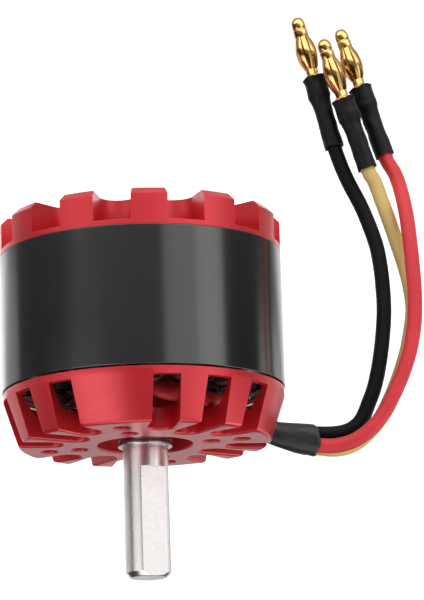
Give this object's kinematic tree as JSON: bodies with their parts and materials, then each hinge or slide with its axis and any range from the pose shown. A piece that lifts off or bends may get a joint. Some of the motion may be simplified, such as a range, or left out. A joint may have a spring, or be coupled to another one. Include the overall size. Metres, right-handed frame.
{
  "type": "brushless outrunner motor",
  "caption": "Brushless outrunner motor with a rotating can and rear bell, a flatted output shaft, a slotted screw-mounting face and phase leads that end in bullet connectors.",
  "frame": {"origin": "on the shaft's axis, in the plane of the mounting face", "axes": "+Z along the output shaft, away from the body; the leads leave towards -X"},
  "size_m": [0.0948, 0.063, 0.1307],
  "materials": {
    "red_anodised": "satin red anodised aluminium",
    "black_can": "satin black with a faint turned grain, on steel",
    "ground_steel": "ground",
    "bearing_steel": "polished",
    "electrical_steel": "varnished laminations",
    "insulator_black": "matte",
    "varnished_copper": "varnished copper windings",
    "magnet_nickel": "nickel plated",
    "silicone_black": "silicone, matte",
    "silicone_red": "silicone, matte",
    "silicone_yellow": "silicone, matte",
    "heatshrink_black": "semi-matte heat shrink",
    "gold_plating": "gold plated",
    "screw_black": "black oxide"
  },
  "bodies": {
    "stator_side": {"front_housing": "red_anodised", "stator_core": "electrical_steel", "stator_insulator_front": "insulator_black", "stator_insulator_rear": "insulator_black", "coil_01": "varnished_copper", "coil_02": "varnished_copper", "coil_03": "varnished_copper", "coil_04": "varnished_copper", "coil_05": "varnished_copper", "coil_06": "varnished_copper", "coil_07": "varnished_copper", "coil_08": "varnished_copper", "coil_09": "varnished_copper", "coil_10": "varnished_copper", "coil_11": "varnished_copper", "coil_12": "varnished_copper", "front_bearing_outer_ring": "bearing_steel", "rear_bearing_outer_ring": "bearing_steel", "phase_tail_black": "silicone_black", "phase_tail_red": "silicone_red", "phase_tail_yellow": "silicone_yellow", "lead_sleeve": "heatshrink_black", "lead_black": "silicone_black", "heatshrink_black": "heatshrink_black", "bullet_connector_black": "gold_plating", "lead_red": "silicone_red", "heatshrink_red": "heatshrink_black", "bullet_connector_red": "gold_plating", "lead_yellow": "silicone_yellow", "heatshrink_yellow": "heatshrink_black", "bullet_connector_yellow": "gold_plating"},
    "rotor_side": {"rotor_can": "black_can", "magnet_01": "magnet_nickel", "magnet_02": "magnet_nickel", "magnet_03": "magnet_nickel", "magnet_04": "magnet_nickel", "magnet_05": "magnet_nickel", "magnet_06": "magnet_nickel", "magnet_07": "magnet_nickel", "magnet_08": "magnet_nickel", "magnet_09": "magnet_nickel", "magnet_10": "magnet_nickel", "magnet_11": "magnet_nickel", "magnet_12": "magnet_nickel", "magnet_13": "magnet_nickel", "magnet_14": "magnet_nickel", "rear_bell": "red_anodised", "shaft": "ground_steel", "retaining_ring": "bearing_steel", "front_spacer": "bearing_steel", "front_bearing_inner_ring": "bearing_steel", "rear_bearing_inner_ring": "bearing_steel", "grub_screw_a": "screw_black", "grub_screw_b": "screw_black"},
    "front_ball_set": {"front_ball_cage": "bearing_steel"},
    "rear_ball_set": {"rear_ball_cage": "bearing_steel"}
  },
  "joints": [
    {"name": "rotor_spin", "type": "hinge", "parent": "stator_side", "child": "rotor_side", "pos_m": [0, 0, 0], "axis": [0, 0, 1], "continuous": true},
    {"name": "front_ball_roll", "type": "hinge", "parent": "stator_side", "child": "front_ball_set", "pos_m": [0, 0, -0.0063], "axis": [0, 0, 1], "continuous": true},
    {"name": "rear_ball_roll", "type": "hinge", "parent": "stator_side", "child": "rear_ball_set", "pos_m": [0, 0, -0.0408], "axis": [0, 0, 1], "continuous": true}
  ],
  "couplings": [
    {"joint": "front_ball_roll", "follows": "rotor_spin", "ratio": 0.443},
    {"joint": "rear_ball_roll", "follows": "rotor_spin", "ratio": 0.443}
  ]
}
